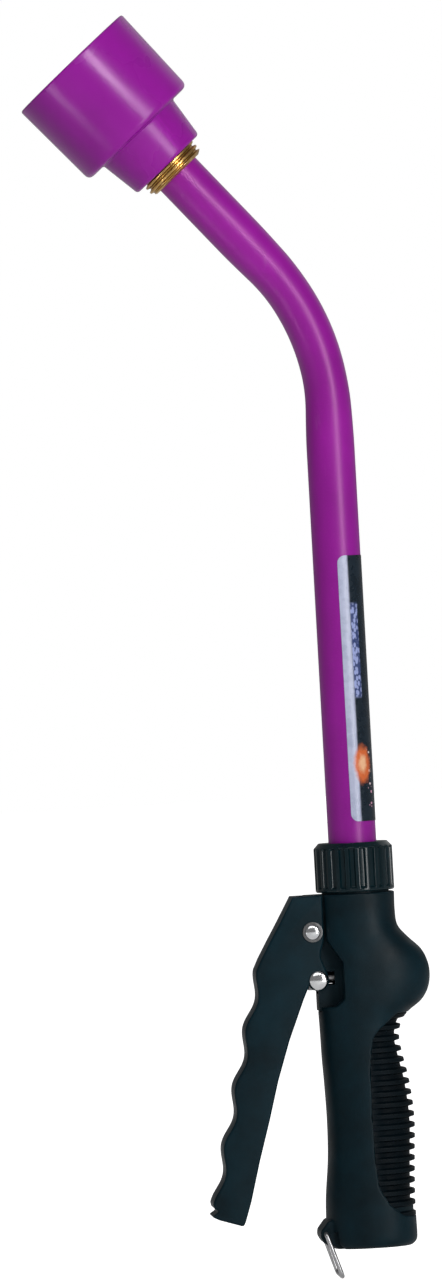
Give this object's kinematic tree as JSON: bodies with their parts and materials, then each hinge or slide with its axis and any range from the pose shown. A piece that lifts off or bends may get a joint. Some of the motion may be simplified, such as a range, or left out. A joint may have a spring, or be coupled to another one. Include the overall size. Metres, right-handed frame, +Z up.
{
  "type": "watering wand",
  "caption": "Bent watering wand with a shower head, a lever valve in the grip handle, and a wire hold-open clip.",
  "frame": {"origin": "centre of the hose inlet's mouth at the bottom of the handle", "axes": "+Z up the handle and the straight part of the tube, -X towards the lever and the shower head, tube bent in the plane Y = 0"},
  "size_m": [0.1424, 0.0552, 0.5022],
  "materials": {
    "tube_purple": "satin powder coat",
    "head_purple": "satin moulded",
    "label_film": "printed film",
    "brass": "machined",
    "black_gloss": "gloss moulded",
    "grip_rubber": "satin moulded",
    "pad_rubber": "ribbed",
    "lever_plastic": "satin moulded",
    "valve_plastic": "moulded",
    "seal_rubber": "moulded",
    "white_nylon": "moulded",
    "chrome": "polished",
    "steel": "drawn wire"
  },
  "bodies": {
    "handle": {"wand_tube": "tube_purple", "tube_label": "label_film", "tube_oring": "seal_rubber", "tube_ferrule": "white_nylon", "collar_nut": "black_gloss", "brass_nipple": "brass", "head_washer": "seal_rubber", "head_body": "head_purple", "head_screen": "steel", "diffuser_disc": "white_nylon", "face_oring": "seal_rubber", "rose_plate": "head_purple", "valve_body": "valve_plastic", "grip_cover": "grip_rubber", "rib_pad": "pad_rubber", "inlet_insert": "brass", "hose_washer": "seal_rubber", "inlet_screen": "steel", "pivot_bush": "white_nylon", "packing_nut": "brass", "stem_oring": "seal_rubber", "seat_ring": "brass", "spring_cap": "brass", "cap_oring": "seal_rubber", "valve_spring": "steel"},
    "lever": {"lever": "lever_plastic", "pivot_pin": "chrome", "pivot_washers": "steel", "link_pin": "chrome"},
    "stem": {"valve_stem": "steel", "valve_washer": "seal_rubber", "washer_holder": "brass", "stem_nut": "steel"},
    "clip": {"lock_clip": "steel"}
  },
  "joints": [
    {"name": "lever_squeeze", "type": "hinge", "parent": "handle", "child": "lever", "pos_m": [-0.0185, 0, 0.1254], "axis": [0, -1, 0], "range_deg": [0, 14], "stiffness_Nm_per_rad": 1.2, "springref_deg": -20.05},
    {"name": "stem_slide", "type": "slide", "parent": "handle", "child": "stem", "axis": [1, 0, 0], "range_m": [0, 0.00461], "deforming": ["valve_spring"]},
    {"name": "clip_swing", "type": "hinge", "parent": "handle", "child": "clip", "pos_m": [-0.0198, 0, 0.0064], "axis": [0, 1, 0], "range_deg": [-23, 119]}
  ],
  "couplings": [
    {"joint": "stem_slide", "follows": "lever_squeeze", "m_per_rad": 0.01884}
  ]
}
